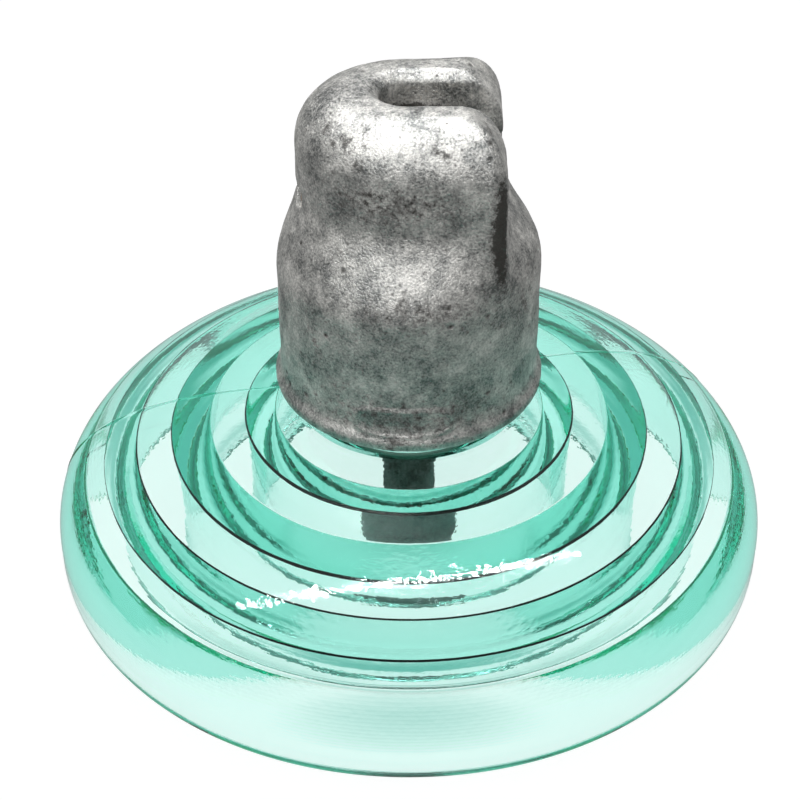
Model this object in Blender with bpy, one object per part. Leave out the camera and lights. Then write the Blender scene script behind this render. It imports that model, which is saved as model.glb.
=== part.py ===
"""Glass disc insulator of the cap-and-pin kind, with a ball-and-socket coupling.

Frame: metres, +Z up along the insulator's axis, with the origin at the centre of the
plane that the glass rim stands on. The socket's mouth opens towards +X.
"""
import math

import bmesh
import bpy
from mathutils import Vector

# Overall sizes
DISC_RADIUS = 0.1275            # widest radius of the glass shed
SPACING = 0.146                 # from the socket's seat to the shoulder of the pin's ball
RIM_HEIGHT = 0.014              # height of the widest ring over the plane it stands on
SHED_RISE = 0.0495              # from the widest ring to the shed's top at the axis

# Fits and fineness
GAP = 0.0003                    # clearance between faces that touch on the real unit
TURNS = 40                      # facets round a turned piece
MERGE = 0.00001                 # doubles closer than this are welded
OVERSHOOT = 0.02                # how far a cutter runs past the face that it leaves

# Glass: shed
SHED_POWER = 2.6                # fullness of the shed's curve towards the rim
SHED_THICKNESS = 0.0105
RIM_WALL = 0.0115
RIM_TAPER = 0.003               # how much thicker the rim's wall is at the shed
RIM_FLAT = 0.004                # width of the flat that the rim stands on
RIM_ROUND = 0.004               # radius between the rim's flat and its inner wall
RIM_ROLL = 0.0084               # height of the rounding outside the rim's flat
NECK_FILLET = 0.008

# Glass: ribs under the shed, from the inner one out
RIB_WIDTHS = (0.0093, 0.0123, 0.0099)
RIB_TIPS = (0.017, 0.007, 0.014)        # height of each tip over the rim's plane
RIB_SHARES = (0.357, 0.357, 0.286)      # of the free space, for the gap outside each rib
RIB_TIP_RADIUS = 0.003
RIB_TIP_FLAT = 0.0016           # between the two radii of a tip
RIB_FILLET = 0.0025
FILLET_LIMIT = 0.4              # the most of the narrowest gap that a root fillet takes
NEXT_CAP_CLEARANCE = 0.0013     # between the inner rib and the next unit's socket head

# Coupling, 16 mm ball and socket
SHANK_RADIUS = 0.0085
BALL_RADIUS = 0.01665
BALL_HEIGHT = 0.0134
BALL_CROWN = 0.006              # from the widest ring of the ball up to its shoulder
BALL_POWER = 2.4                # fullness of the ball's outline
BALL_FLAT = 0.005               # radius of the flat under the ball
BALL_ANGLES = (55, 35, 15, 0, -20, -40, -60)    # where its outline has points
SHANK_CHAMFER = 0.001           # between the shank and the ball's shoulder
SLOT_CLEARANCE = 0.0012         # round the shank
SLOT_FLARE = 0.003              # chamfer along the slot's top edge
SOCKET_CLEARANCE = 0.0011       # round the ball
SEAT_CLEARANCE = 0.00065        # round the ball in its recess under the lip
ENTRY_CLEARANCE = 0.0028        # over the ball on its way in
SEAT_RISE = 0.0035              # from the ceiling at the mouth up to the seat
LIP = 0.0188                    # metal over the seat

# Pin's head, and the walls that follow from it outwards
PIN_HEAD_RADIUS = 0.0155
PIN_HEAD_HEIGHT = 0.045
PIN_STEPS = 3
PIN_UNDERCUT = 0.002
PIN_COLLAR = 0.001              # how much wider the neck is than the shank
PIN_NECK_TAPER = 0.0045         # height of the cone between the two
PIN_CEMENT = 0.0065
GLASS_WALL = 0.012
CAP_CEMENT = 0.005
BELL_WALL = 0.0055
FLANGE_PROUD = 0.0023
CEMENT_RECESS = 0.0015          # how far each cement face lies inside its mouth

# Glass: head and the bore for the pin
GLASS_HEAD_CORNER = 0.007
CROWN_THICKNESS = 0.014
CROWN_GAP = 0.0028              # over the crown, for the resilient disc
BORE_CORNER = 0.006
BORE_CHAMFER = 0.002
HUB_THICKNESS = 0.0135          # glass round the bore's mouth

# Cap: bell
FLANGE_CLEARANCE = 0.0055       # from the shed's top up to the flange
FLANGE_BEAD = 0.0078
FLANGE_NECK = 0.0024            # from the bead up to the bell's plain wall
BELL_CORNER = 0.009
BELL_DEPTH = 0.0595             # from the flange's underside to the roof inside
GROOVE_DEPTH = 0.0015           # wedge grooves that key the cement
GROOVE_COUNT = 2
GROOVE_LAND = 0.007             # plain wall under the first groove
GROOVE_RISE = 0.002             # steep side of a groove, and the plain wall over it
ROOF_THICKNESS = 0.0143
SHOULDER_DROP = 0.0105          # from the roof inside down to where the shoulder starts
SHOULDER_BEND_BACK = 1.45       # how late the shoulder closes in at the back of the head
SHOULDER_BEND_MOUTH = 2.1       # and under its mouth
SHOULDER_EASE = 1.3             # how softly it runs into the head

# Cap: socket head
HEAD_BACK = 0.037               # from the axis to the back of the head
HEAD_MOUTH = 0.031              # from the axis to the plane of the mouth
HEAD_CORNER = 0.005             # plan radius of the mouth's two corners
HEAD_EDGE = 0.0185              # rounding of the head's top edge
MOUTH_EDGE = 0.020              # rounding of the top edge over the mouth
HEAD_START = 0.0032             # from the socket's floor up to the end of the shoulder
SOCKET_WALL = 0.01575           # beside the ball

# Locking clip, a strip on edge bent to a W
CLIP_HEIGHT = 0.005
CLIP_STRIP = 0.003
CLIP_BEND = 0.003               # radius of each bend, on the strip's centre line
CLIP_LEG = 0.009                # from the middle plane to a leg's centre line
CLIP_INSET = 0.002              # of the rear loops inside the back of the head
CLIP_VERTEX = 0.008             # from the axis forward to the middle vertex
CLIP_TIP = 0.0115               # from the axis forward to the legs' tips
CLIP_FLARE = 0.0018             # how far the legs' tips spread
WINDOW_SIDE_CLEARANCE = 0.0005
WINDOW_TOP_CLEARANCE = 0.0012

# Cushions
CAP_CUSHION_INSET = 0.009       # inside the radius of the glass head
PIN_CUSHION_INSET = 0.0025      # inside the radius of the pin's head
PIN_CUSHION_THICKNESS = 0.003

# Radii that follow
BORE_RADIUS = PIN_HEAD_RADIUS + PIN_CEMENT
GLASS_HEAD_RADIUS = BORE_RADIUS + GLASS_WALL
BELL_INSIDE = GLASS_HEAD_RADIUS + CAP_CEMENT
BELL_RADIUS = BELL_INSIDE + BELL_WALL
FLANGE_RADIUS = BELL_RADIUS + FLANGE_PROUD
PIN_NECK_RADIUS = SHANK_RADIUS + PIN_COLLAR
PIN_CUSHION_RADIUS = PIN_HEAD_RADIUS - PIN_CUSHION_INSET
CAP_CUSHION_RADIUS = GLASS_HEAD_RADIUS - CAP_CUSHION_INSET
SLOT_HALF_WIDTH = SHANK_RADIUS + SLOT_CLEARANCE
SOCKET_RADIUS = BALL_RADIUS + SOCKET_CLEARANCE
SEAT_RADIUS = BALL_RADIUS + SEAT_CLEARANCE
HEAD_HALF_WIDTH = SOCKET_RADIUS + SOCKET_WALL
CLIP_REAR = HEAD_BACK - CLIP_INSET

# Heights that follow
ENTRY_HEIGHT = BALL_HEIGHT + ENTRY_CLEARANCE
SOCKET_HEIGHT = ENTRY_HEIGHT + SEAT_RISE
FLANGE_Z = RIM_HEIGHT + SHED_RISE + FLANGE_CLEARANCE
BELL_ROOF_Z = FLANGE_Z + BELL_DEPTH
SHOULDER_Z = BELL_ROOF_Z - SHOULDER_DROP
SOCKET_FLOOR_Z = BELL_ROOF_Z + ROOF_THICKNESS
SHOULDER_TOP_Z = SOCKET_FLOOR_Z + HEAD_START
SEAT_Z = SOCKET_FLOOR_Z + SOCKET_HEIGHT
CAP_TOP_Z = SEAT_Z + LIP
BALL_SHOULDER_Z = SEAT_Z - SPACING
CROWN_Z = BELL_ROOF_Z - CROWN_GAP
BORE_ROOF_Z = CROWN_Z - CROWN_THICKNESS
BORE_MOUTH_Z = RIM_HEIGHT + SHED_RISE - HUB_THICKNESS
PIN_TOP_Z = BORE_ROOF_Z - PIN_CUSHION_THICKNESS - 2 * GAP
INNER_RIB_RADIUS = math.hypot(HEAD_MOUTH, HEAD_HALF_WIDTH) + NEXT_CAP_CLEARANCE


def clear_scene():
    for thing in list(bpy.data.objects):
        bpy.data.objects.remove(thing, do_unlink=True)


def material(name, colour, roughness, metallic=0.0, transmission=0.0):
    made = bpy.data.materials.new(name)
    made.use_nodes = True
    shader = made.node_tree.nodes["Principled BSDF"]
    shader.inputs["Base Color"].default_value = (*colour, 1.0)
    shader.inputs["Roughness"].default_value = roughness
    shader.inputs["Metallic"].default_value = metallic
    shader.inputs["Transmission Weight"].default_value = transmission
    return made


def arc(centre, radius, start, end, steps):
    """Points (r, z) on an arc, from one angle to the other in degrees."""
    points = []
    for step in range(steps + 1):
        angle = math.radians(start + (end - start) * step / steps)
        points.append((centre[0] + radius * math.cos(angle),
                       centre[1] + radius * math.sin(angle)))
    return points


def add_object(name, bm, looks=None):
    mesh = bpy.data.meshes.new(name)
    bmesh.ops.recalc_face_normals(bm, faces=bm.faces)
    bm.to_mesh(mesh)
    bm.free()
    made = bpy.data.objects.new(name, mesh)
    bpy.context.collection.objects.link(made)
    if looks:
        mesh.materials.append(looks)
        mesh.shade_smooth()
        mesh.set_sharp_from_angle(angle=math.radians(35))
    return made


def turned(name, profile, looks=None, ring=False):
    """Spin a profile of (r, z) points round +Z; a ring's profile closes on itself."""
    bm = bmesh.new()
    verts = [bm.verts.new((r, 0.0, z)) for r, z in profile]
    edges = [bm.edges.new(pair) for pair in zip(verts, verts[1:])]
    if ring:
        edges.append(bm.edges.new((verts[-1], verts[0])))
    bmesh.ops.spin(bm, geom=verts + edges, axis=(0, 0, 1), cent=(0, 0, 0),
                   angle=math.tau, steps=TURNS, use_merge=True)
    bmesh.ops.remove_doubles(bm, verts=bm.verts, dist=MERGE)
    return add_object(name, bm, looks)


def lofted(name, loops, looks=None):
    """Bridge loops that have the same number of points, and close both ends."""
    bm = bmesh.new()
    rings = []
    for loop in loops:
        verts = [bm.verts.new(point) for point in loop]
        rings.append([bm.edges.new(pair) for pair in zip(verts, verts[1:] + verts[:1])])
    for low, high in zip(rings, rings[1:]):
        bmesh.ops.bridge_loops(bm, edges=low + high)
    for end in (rings[0], rings[-1]):
        bmesh.ops.contextual_create(bm, geom=end)
    return add_object(name, bm, looks)


def combine(target, tool, operation):
    """A live Boolean on the target; the tool itself is left out of the model."""
    tool.hide_render = True
    tool.display_type = "WIRE"
    modifier = target.modifiers.new(tool.name, "BOOLEAN")
    modifier.operation = operation
    modifier.solver = "EXACT"
    modifier.object = tool


def shed_top(radius):
    """Height of the shed's upper surface, without the neck's fillet."""
    share = min(radius / DISC_RADIUS, 1.0)
    return RIM_HEIGHT + SHED_RISE * math.sqrt(1.0 - share ** SHED_POWER)


def shed_under(radius):
    return shed_top(radius) - SHED_THICKNESS


def rib_edges():
    """Inner and outer radius of each rib at its root, from the inner rib out."""
    rim_inside = DISC_RADIUS - RIM_WALL
    free = rim_inside - INNER_RIB_RADIUS - sum(RIB_WIDTHS)
    edges = []
    inner = INNER_RIB_RADIUS
    for width, share in zip(RIB_WIDTHS, RIB_SHARES):
        edges.append((inner, inner + width))
        inner += width + share * free
    return edges


def glass_head(offset):
    """Outside of the glass head from the crown down, moved outwards by the offset."""
    radius = GLASS_HEAD_RADIUS + offset
    corner = GLASS_HEAD_CORNER + offset
    crown = CROWN_Z + offset
    return arc((radius - corner, crown - corner), corner, 90, 0, 4)


def bore(offset):
    """Wall of the glass bore from its mouth up, moved inwards by the offset."""
    radius = BORE_RADIUS - offset
    corner = BORE_CORNER - offset
    roof = BORE_ROOF_Z - offset
    return arc((radius - corner, roof - corner), corner, 0, 90, 3)


def shed_outline():
    """From the neck's fillet over the shed and round the rim to its flat."""
    neck_z = shed_top(GLASS_HEAD_RADIUS + NECK_FILLET) + NECK_FILLET
    points = arc((GLASS_HEAD_RADIUS + NECK_FILLET, neck_z), NECK_FILLET, 180, 262, 4)
    turn = 12
    first = math.asin(points[-1][0] / DISC_RADIUS)
    for step in range(1, turn + 1):
        angle = first + (math.pi / 2 - first) * step / turn
        radius = DISC_RADIUS * math.sin(angle)
        points.append((radius, shed_top(radius)))
    flat_outer = DISC_RADIUS - RIM_WALL + RIM_ROUND + RIM_FLAT
    round_width = DISC_RADIUS - flat_outer
    for step in range(5):
        angle = math.radians(90.0 * step / 4)
        points.append((flat_outer + round_width * math.cos(angle),
                       RIM_ROLL * (1.0 - math.sin(angle))))
    return points


def rib_outline(inner, outer, tip, fillet):
    """One rib from its outer root round the tip to its inner root."""
    middle = (inner + outer) / 2
    half = RIB_TIP_FLAT / 2
    high = tip + RIB_TIP_RADIUS
    points = arc((outer + fillet, shed_under(outer + fillet) - fillet), fillet, 90, 180, 2)
    points += arc((middle + half, high), RIB_TIP_RADIUS, 0, -90, 2)
    points += arc((middle - half, high), RIB_TIP_RADIUS, -90, -180, 2)
    points += arc((inner - fillet, shed_under(inner - fillet) - fillet), fillet, 0, 90, 2)
    return points


def glass_outline():
    rim_inside = DISC_RADIUS - RIM_WALL
    points = [(0.0, CROWN_Z)] + glass_head(0.0) + shed_outline()
    points += arc((rim_inside + RIM_ROUND, RIM_ROUND), RIM_ROUND, 270, 180, 2)
    edges = rib_edges()
    gaps = [right[0] - left[1] for left, right in zip(edges, edges[1:])]
    gaps.append(rim_inside - RIM_TAPER - edges[-1][1])
    fillet = min(RIB_FILLET, FILLET_LIMIT * min(gaps))
    wall = rim_inside - RIM_TAPER
    points += arc((wall - fillet, shed_under(wall) - fillet), fillet, 0, 60, 2)
    for (inner, outer), tip in reversed(list(zip(edges, RIB_TIPS))):
        points += rib_outline(inner, outer, tip, fillet)
    points += [(BORE_RADIUS + BORE_CHAMFER, BORE_MOUTH_Z)]
    points += [(BORE_RADIUS, BORE_MOUTH_Z + BORE_CHAMFER)]
    return points + bore(0.0) + [(0.0, BORE_ROOF_Z)]


def make_glass():
    looks = material("toughened_glass", (0.50, 0.86, 0.78), 0.02, transmission=1.0)
    return turned("glass_shell", glass_outline(), looks)


def head_plan():
    """Plan of the socket head: round behind, flat sides and a mouth with small corners."""
    points = []
    back_steps = 18
    for step in range(back_steps + 1):
        angle = math.radians(90 + 180 * step / back_steps)
        points.append((HEAD_BACK * math.cos(angle), HEAD_HALF_WIDTH * math.sin(angle)))
    corner = (HEAD_MOUTH - HEAD_CORNER, HEAD_HALF_WIDTH - HEAD_CORNER)
    side_steps = 3
    front = [(corner[0] * step / side_steps, -HEAD_HALF_WIDTH)
             for step in range(1, side_steps)]
    front += arc((corner[0], -corner[1]), HEAD_CORNER, -90, 0, 3)
    mouth_steps = 6
    front += [(HEAD_MOUTH, corner[1] * (2 * step / mouth_steps - 1))
              for step in range(1, mouth_steps)]
    front += arc(corner, HEAD_CORNER, 0, 90, 3)
    front += [(corner[0] * (1 - step / side_steps), HEAD_HALF_WIDTH)
              for step in range(1, side_steps)]
    return points + front


def bell_ring(radius, height):
    """A round ring whose points lie in the directions of the head's own points."""
    ring = []
    for x, y in head_plan():
        reach = math.hypot(x, y)
        ring.append((radius * x / reach, radius * y / reach, height))
    return ring


def shoulder_ring(rise):
    """The shoulder at a rise of 0 to 1: it closes in late over the mouth."""
    ring = []
    for x, y in head_plan():
        reach = math.hypot(x, y)
        towards_mouth = (1 + x / reach) / 2
        bend = SHOULDER_BEND_BACK + (SHOULDER_BEND_MOUTH - SHOULDER_BEND_BACK) * towards_mouth
        inward = rise ** bend
        share = inward / (inward + (1 - rise) ** SHOULDER_EASE)
        radius = BELL_RADIUS + (reach - BELL_RADIUS) * share
        ring.append((radius * x / reach, radius * y / reach,
                     SHOULDER_Z + (SHOULDER_TOP_Z - SHOULDER_Z) * rise))
    return ring


def head_ring(turn):
    """The head's rounded top edge, from 0 at its side to 90 degrees on top."""
    angle = math.radians(turn)
    ring = []
    for x, y in head_plan():
        towards_mouth = max(0.0, x / HEAD_MOUTH) ** 2
        edge = HEAD_EDGE + (MOUTH_EDGE - HEAD_EDGE) * min(1.0, towards_mouth)
        inset = edge * (1 - math.cos(angle)) / math.hypot(x, y)
        ring.append((x * (1 - inset), y * (1 - inset),
                     CAP_TOP_Z - edge * (1 - math.sin(angle))))
    return ring


def keyhole(half_width, height):
    """A plan that is half round about the axis and runs out past the mouth."""
    reach = BELL_RADIUS + OVERSHOOT
    points = arc((0.0, 0.0), half_width, 90, 270, 16)
    points += [(reach, -half_width), (reach, half_width)]
    return [(x, y, height) for x, y in points]


def bell_wall(offset):
    """Inside of the bell from the roof down, moved inwards by the offset."""
    radius = BELL_INSIDE - offset
    corner = BELL_CORNER - offset
    points = arc((radius - corner, BELL_ROOF_Z - offset - corner), corner, 90, 0, 3)
    pitch = (BELL_DEPTH - BELL_CORNER - GROOVE_LAND) / GROOVE_COUNT
    for groove in reversed(range(GROOVE_COUNT)):
        start = FLANGE_Z + GROOVE_LAND + pitch * groove
        points.append((radius, start + pitch - GROOVE_RISE))
        points.append((radius + GROOVE_DEPTH, start + GROOVE_RISE))
        points.append((radius, start))
    return points


def bell_core():
    below = FLANGE_Z - OVERSHOOT
    wall = bell_wall(0.0)
    profile = [(0.0, BELL_ROOF_Z)] + wall + [(wall[-1][0], below), (0.0, below)]
    return turned("bell_core", profile)


def socket_core():
    loops = [keyhole(SOCKET_RADIUS, SOCKET_FLOOR_Z),
             keyhole(SOCKET_RADIUS, SOCKET_FLOOR_Z + ENTRY_HEIGHT)]
    return lofted("socket_core", loops)


def seat_core():
    low = SOCKET_FLOOR_Z + ENTRY_HEIGHT / 2
    return turned("seat_core", [(0.0, SEAT_Z), (SEAT_RADIUS, SEAT_Z),
                                (SEAT_RADIUS, low), (0.0, low)])


def slot_core():
    flare_z = CAP_TOP_Z - SLOT_FLARE
    wide = SLOT_HALF_WIDTH + SLOT_FLARE + OVERSHOOT
    loops = [keyhole(SLOT_HALF_WIDTH, SEAT_Z - LIP / 2),
             keyhole(SLOT_HALF_WIDTH, flare_z),
             keyhole(wide, CAP_TOP_Z + OVERSHOOT)]
    return lofted("slot_core", loops)


def window_core():
    half = CLIP_LEG + CLIP_STRIP / 2 + WINDOW_SIDE_CLEARANCE
    top = SOCKET_FLOOR_Z + GAP + CLIP_HEIGHT + WINDOW_TOP_CLEARANCE
    far = -HEAD_BACK - OVERSHOOT
    near = -SOCKET_RADIUS / 2
    plan = [(far, -half), (near, -half), (near, half), (far, half)]
    return lofted("window_core", [[(x, y, SOCKET_FLOOR_Z) for x, y in plan],
                                  [(x, y, top) for x, y in plan]])


def make_cap():
    looks = material("galvanised_iron", (0.42, 0.42, 0.41), 0.55, metallic=1.0)
    bead = FLANGE_BEAD / 2
    side = FLANGE_RADIUS - bead
    loops = [bell_ring(r, FLANGE_Z + bead + z) for r, z in arc((side, 0.0), bead, -80, 50, 4)]
    loops.append(bell_ring(BELL_RADIUS, FLANGE_Z + FLANGE_BEAD + FLANGE_NECK))
    loops += [shoulder_ring(step / 6) for step in range(7)]
    loops += [head_ring(turn) for turn in (0, 30, 60, 90)]
    cap = lofted("cap", loops, looks)
    socket = socket_core()
    for space in (seat_core(), slot_core(), window_core()):
        combine(socket, space, "UNION")
    for core in (bell_core(), socket):
        combine(cap, core, "DIFFERENCE")
    return cap


def make_cap_cement():
    looks = material("portland_cement", (0.46, 0.45, 0.42), 0.9)
    mouth = FLANGE_Z + CEMENT_RECESS
    outside = bell_wall(GAP)
    outside.append((outside[-1][0], mouth))
    head = glass_head(GAP)
    inside = [(head[-1][0], mouth)] + head[::-1]
    disc = CAP_CUSHION_RADIUS + GAP
    inside += [(disc, CROWN_Z + GAP), (disc, BELL_ROOF_Z - GAP)]
    return turned("cap_cement", outside + inside, looks, ring=True)


def make_cap_cushion():
    looks = material("bitumen_disc", (0.03, 0.03, 0.03), 0.8)
    low = CROWN_Z + GAP
    high = BELL_ROOF_Z - GAP
    profile = [(0.0, high), (CAP_CUSHION_RADIUS, high), (CAP_CUSHION_RADIUS, low), (0.0, low)]
    return turned("cap_cushion", profile, looks)


def pin_head(offset):
    """Stepped head of the pin from its top down, moved outwards by the offset."""
    top = PIN_TOP_Z
    points = [(PIN_CUSHION_RADIUS + offset, top)]
    points.append((PIN_HEAD_RADIUS + offset, top - PIN_CUSHION_THICKNESS))
    step_height = PIN_HEAD_HEIGHT / PIN_STEPS
    growth = (PIN_HEAD_RADIUS - PIN_NECK_RADIUS) / PIN_STEPS
    for step in range(PIN_STEPS):
        widest = PIN_HEAD_RADIUS - growth * step + offset
        ledge = top - step_height * step - step_height / 3
        points.append((widest, ledge))
        narrow = max(PIN_NECK_RADIUS + offset, widest - growth - PIN_UNDERCUT)
        points.append((narrow, ledge - step_height / 2))
    return points


def ball():
    """The ball from its shoulder at the shank down to the flat under it."""
    points = []
    middle = BALL_SHOULDER_Z - BALL_CROWN
    for angle in BALL_ANGLES:
        turn = math.radians(angle)
        reach = BALL_CROWN if angle > 0 else BALL_HEIGHT - BALL_CROWN
        radius = BALL_RADIUS * math.cos(turn) ** (2 / BALL_POWER)
        height = math.copysign(abs(math.sin(turn)) ** (2 / BALL_POWER), angle) * reach
        points.append((radius, middle + height))
    return points + [(BALL_FLAT, BALL_SHOULDER_Z - BALL_HEIGHT)]


def make_pin():
    looks = material("galvanised_steel", (0.50, 0.50, 0.49), 0.45, metallic=1.0)
    profile = [(0.0, PIN_TOP_Z)] + pin_head(0.0)
    neck = BORE_MOUTH_Z + CEMENT_RECESS
    profile += [(PIN_NECK_RADIUS, neck), (SHANK_RADIUS, neck - PIN_NECK_TAPER)]
    profile += [(SHANK_RADIUS, BALL_SHOULDER_Z + SHANK_CHAMFER)]
    profile += [(SHANK_RADIUS + SHANK_CHAMFER, BALL_SHOULDER_Z)]
    profile += ball() + [(0.0, BALL_SHOULDER_Z - BALL_HEIGHT)]
    return turned("pin", profile, looks)


def make_pin_cement():
    looks = material("portland_cement_pin", (0.44, 0.43, 0.40), 0.9)
    mouth = BORE_MOUTH_Z + BORE_CHAMFER + CEMENT_RECESS
    wall = bore(GAP)
    inside = pin_head(GAP)
    profile = [(inside[0][0], BORE_ROOF_Z - GAP)] + inside
    profile += [(PIN_NECK_RADIUS + GAP, mouth), (wall[0][0], mouth)] + wall
    return turned("pin_cement", profile, looks, ring=True)


def make_pin_cushion():
    looks = material("cork", (0.30, 0.18, 0.09), 0.9)
    low = PIN_TOP_Z + GAP
    high = low + PIN_CUSHION_THICKNESS
    profile = [(0.0, high), (PIN_CUSHION_RADIUS, high), (PIN_CUSHION_RADIUS, low), (0.0, low)]
    return turned("pin_cushion", profile, looks)


def clip_path():
    """Centre line of the W from one leg's tip to the other's, seen from above."""
    straight = CLIP_TIP - 2 * CLIP_FLARE
    half = [(CLIP_TIP, CLIP_LEG + CLIP_FLARE), (straight, CLIP_LEG)]
    rear = CLIP_REAR - CLIP_BEND - CLIP_STRIP / 2
    half += arc((-rear, CLIP_LEG - CLIP_BEND), CLIP_BEND, 90, 270, 6)
    vertex = CLIP_VERTEX - CLIP_BEND - CLIP_STRIP / 2
    half += arc((vertex, 0.0), CLIP_BEND, 90, 0, 3)
    return half + [(x, -y) for x, y in half[-2::-1]]


def make_clip():
    looks = material("phosphor_bronze", (0.60, 0.42, 0.22), 0.35, metallic=1.0)
    path = [Vector(point) for point in clip_path()]
    sides = ([], [])
    for index, point in enumerate(path):
        ahead = path[min(index + 1, len(path) - 1)]
        behind = path[max(index - 1, 0)]
        along = (ahead - behind).normalized()
        across = Vector((-along.y, along.x)) * CLIP_STRIP / 2
        sides[0].append(point + across)
        sides[1].append(point - across)
    plan = sides[0] + sides[1][::-1]
    low = SOCKET_FLOOR_Z + GAP
    heights = (low, low + CLIP_HEIGHT)
    return lofted("locking_clip", [[(x, y, z) for x, y in plan] for z in heights], looks)


def main():
    clear_scene()
    make_glass()
    make_cap()
    make_cap_cement()
    make_cap_cushion()
    make_pin()
    make_pin_cement()
    make_pin_cushion()
    make_clip()


main()
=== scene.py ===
"""Looks of a cap-and-pin glass insulator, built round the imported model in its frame."""
import math
import random

import bmesh
import bpy
from mathutils import Matrix, Vector, noise


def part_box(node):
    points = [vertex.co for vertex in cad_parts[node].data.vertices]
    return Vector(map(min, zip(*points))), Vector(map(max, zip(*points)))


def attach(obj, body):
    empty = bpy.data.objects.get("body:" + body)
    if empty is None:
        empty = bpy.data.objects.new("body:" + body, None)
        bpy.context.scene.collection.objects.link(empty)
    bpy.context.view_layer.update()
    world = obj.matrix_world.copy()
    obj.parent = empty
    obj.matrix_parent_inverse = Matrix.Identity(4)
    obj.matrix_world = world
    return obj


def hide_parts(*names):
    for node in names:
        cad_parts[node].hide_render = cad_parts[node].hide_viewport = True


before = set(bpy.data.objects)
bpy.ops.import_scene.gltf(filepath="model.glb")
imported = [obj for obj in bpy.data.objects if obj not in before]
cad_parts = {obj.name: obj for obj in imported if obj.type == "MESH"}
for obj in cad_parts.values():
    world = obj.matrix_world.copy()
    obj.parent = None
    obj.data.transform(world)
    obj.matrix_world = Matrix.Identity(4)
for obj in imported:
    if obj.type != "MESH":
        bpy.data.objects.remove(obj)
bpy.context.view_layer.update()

MM = 0.001
WELD = 0.01 * MM              # points nearer than this are merged
GAP = 0.3 * MM                # left between pieces that touch

# Heights and radii that the frame gives
GLASS_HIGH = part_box("glass_shell")[1]
CAP_LOW, CAP_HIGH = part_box("cap")
PIN_LOW, PIN_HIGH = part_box("pin")
CLIP_LOW, CLIP_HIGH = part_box("locking_clip")
DISC_RADIUS = GLASS_HIGH.x
CROWN_Z = GLASS_HIGH.z
FLANGE_Z = CAP_LOW.z
FLANGE_RADIUS = CAP_HIGH.x
CAP_TOP_Z = CAP_HIGH.z
BORE_ROOF_Z = CROWN_Z - 14.0 * MM
SOCKET_FLOOR_Z = CLIP_LOW.z - GAP
BELL_ROOF_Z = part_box("cap_cement")[1].z + GAP

# Glass
GLASS_TURNS = 216
RIM_HEIGHT = 14.0 * MM
SHED_RISE = 49.5 * MM         # from the widest ring to the top of the shed at the axis
SHED_POWER = 2.6              # fullness of the shed's curve towards the rim
SHED_STEPS = 56
SHED_THICKNESS = 10.5 * MM
CROWN_ROUND = 7.0 * MM
NECK_ROUND = 8.0 * MM
RIM_WALL = 11.5 * MM
RIM_TAPER = 3.0 * MM          # how much thicker the rim's wall is at the shed
RIM_FLAT = 4.0 * MM           # width of the flat that the rim stands on
RIM_ROUND = 4.0 * MM          # radius between the rim's flat and its inner wall
RIM_STEPS = 12
RIM_FOOT_SHARE = 0.6          # of the rim's height, taken up by the curve to its flat foot
RIM_INSIDE_ROUND = 3.0 * MM   # radius between that wall and the underside of the shed
BORE_RADIUS = 22.0 * MM
BORE_ROUND = 6.0 * MM
BORE_MOUTH_ROUND = 2.0 * MM
GLASS_HEAD_RADIUS = 34.0 * MM # the part inside the cap
HUB_UNDER_Z = RIM_HEIGHT + SHED_RISE - 13.5 * MM
RIBS = (                    # inner root, outer root and tip height, from the inner rib out
    (46.95 * MM, 56.25 * MM, 17.0 * MM),
    (69.65 * MM, 81.95 * MM, 7.0 * MM),
    (95.3 * MM, 105.2 * MM, 14.0 * MM),
)
RIB_TIP_HALF = 3.8 * MM       # half of a tip's width, before its corners are rounded
RIB_TIP_ROUND = 3.0 * MM
OUTER_ROOT = 0.7 * MM         # radius of the corner outside a rib, at its root
INNER_ROOT = 0.4 * MM         # and inside it
OUTER_ROOT_SHADE = 2.7 * MM         # from a root's corner to the edge of the painted dark line (painted shade) in it
INNER_ROOT_SHADE = 0.55 * MM
SEAM_ANGLES = (177.0, 24.0)   # degrees round the axis
SEAM_HALF = 0.25 * MM
SEAM_RISE = 0.16 * MM
SEAM_FROM = 37 * MM           # distance from the axis to the inner end of a seam
RIPPLE = 0.02 * MM            # most that the surface rises or falls


def rounded(corners, steps=6):
    """An outline of (r, z) points from corners of (r, z, radius), each rounded by an arc."""
    points = []
    last = len(corners) - 1
    for index, (r, z, radius) in enumerate(corners):
        here = Vector((r, z))
        if radius == 0.0 or index in (0, last):
            points.append(here)
            continue
        back = (Vector(corners[index - 1][:2]) - here).normalized()
        ahead = (Vector(corners[index + 1][:2]) - here).normalized()
        half = back.angle(ahead) / 2
        if half > math.radians(89):
            points.append(here)
            continue
        centre = here + (back + ahead).normalized() * (radius / math.sin(half))
        start = here + back * (radius / math.tan(half)) - centre
        sweep = math.pi - 2 * half
        turn = 1 if start.x * ahead.y - start.y * ahead.x > 0 else -1
        for step in range(steps + 1):
            angle = turn * sweep * step / steps
            cos, sin = math.cos(angle), math.sin(angle)
            arm = Vector((start.x * cos - start.y * sin, start.x * sin + start.y * cos))
            points.append(centre + arm)
    return points


def braced(points, margin=0.15 * MM):
    """The outline with a point close to both ends of each long run, so that its shading
    stays flat between them."""
    held = [points[0]]
    for here, ahead in zip(points, points[1:]):
        here, ahead = Vector(here[:2]), Vector(ahead[:2])
        run = ahead - here
        if run.length > 6 * margin:
            held.append(here + run.normalized() * margin)
            held.append(ahead - run.normalized() * margin)
        held.append(ahead)
    return held


def as_object(name, bm):
    mesh = bpy.data.meshes.new(name)
    bm.to_mesh(mesh)
    bm.free()
    made = bpy.data.objects.new(name, mesh)
    bpy.context.collection.objects.link(made)
    return made


def piece(name, bm, looks, body, node):
    """Make an object that rides on a body and stands for a node of the frame."""
    made = as_object(name, bm)
    made.data.shade_smooth()
    made.data.materials.append(looks)
    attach(made, body)
    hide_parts(node)
    return made


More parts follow.
